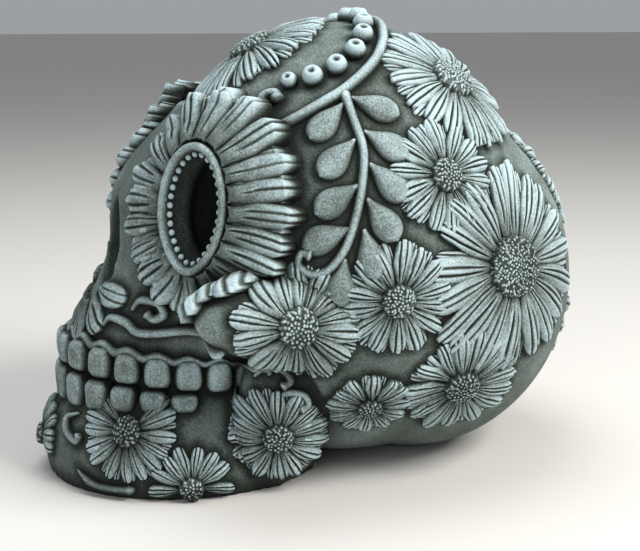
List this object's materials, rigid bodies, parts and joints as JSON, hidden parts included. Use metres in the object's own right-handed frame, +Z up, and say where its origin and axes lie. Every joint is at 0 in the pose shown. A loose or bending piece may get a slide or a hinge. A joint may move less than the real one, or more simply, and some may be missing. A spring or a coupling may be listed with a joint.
{
  "type": "sugar skull ornament",
  "caption": "Life-like skull ornament of cast stone, covered in daisies, leafy sprigs, beads and scrolls in relief; it rests on its jaw and braincase.",
  "frame": {"origin": "middle of the footprint, on the surface that the skull rests on", "axes": "+Z up, the face looks along -Y, the skull's left side is +X"},
  "size_m": [0.149, 0.2023, 0.161],
  "materials": {
    "cast_stone": "matt grey-green cast stone, fine pores, dark wash in the hollows",
    "brushed_stone": "the same stone with a pale blue-white dry-brushed wash on every raised edge"
  },
  "bodies": {
    "root": {"chin_scrolls_left": "brushed_stone", "chin_scrolls_right": "brushed_stone", "cranium": "cast_stone", "crown_beads": "brushed_stone", "crown_vine": "brushed_stone", "daisy_cheek_left": "brushed_stone", "daisy_cheek_right": "brushed_stone", "daisy_chin": "brushed_stone", "daisy_crown_left": "brushed_stone", "daisy_crown_right": "brushed_stone", "daisy_ear_left": "brushed_stone", "daisy_ear_right": "brushed_stone", "daisy_forehead": "brushed_stone", "daisy_jaw_edge_left": "brushed_stone", "daisy_jaw_edge_right": "brushed_stone", "daisy_jaw_left": "brushed_stone", "daisy_jaw_right": "brushed_stone", "daisy_lip_left": "brushed_stone", "daisy_lip_right": "brushed_stone", "daisy_mastoid_left": "brushed_stone", "daisy_mastoid_right": "brushed_stone", "daisy_nape_left": "brushed_stone", "daisy_nape_right": "brushed_stone", "daisy_occiput_lower": "brushed_stone", "daisy_occiput_upper": "brushed_stone", "daisy_parietal_left": "brushed_stone", "daisy_parietal_right": "brushed_stone", "daisy_temple_left": "brushed_stone", "daisy_temple_right": "brushed_stone", "eye_beads_left": "brushed_stone", "eye_beads_right": "brushed_stone", "eye_petals_left": "brushed_stone", "eye_petals_right": "brushed_stone", "eye_rim_left": "brushed_stone", "eye_rim_right": "brushed_stone", "gum_band": "brushed_stone", "jaw_scrolls_left": "brushed_stone", "jaw_scrolls_right": "brushed_stone", "lip_scroll_left": "brushed_stone", "lip_scroll_right": "brushed_stone", "lower_jaw": "cast_stone", "lower_teeth": "brushed_stone", "nose_petals": "brushed_stone", "sprig_leaves_left": "brushed_stone", "sprig_leaves_right": "brushed_stone", "sprig_stem_left": "brushed_stone", "sprig_stem_right": "brushed_stone", "upper_teeth": "brushed_stone"}
  },
  "joints": []
}
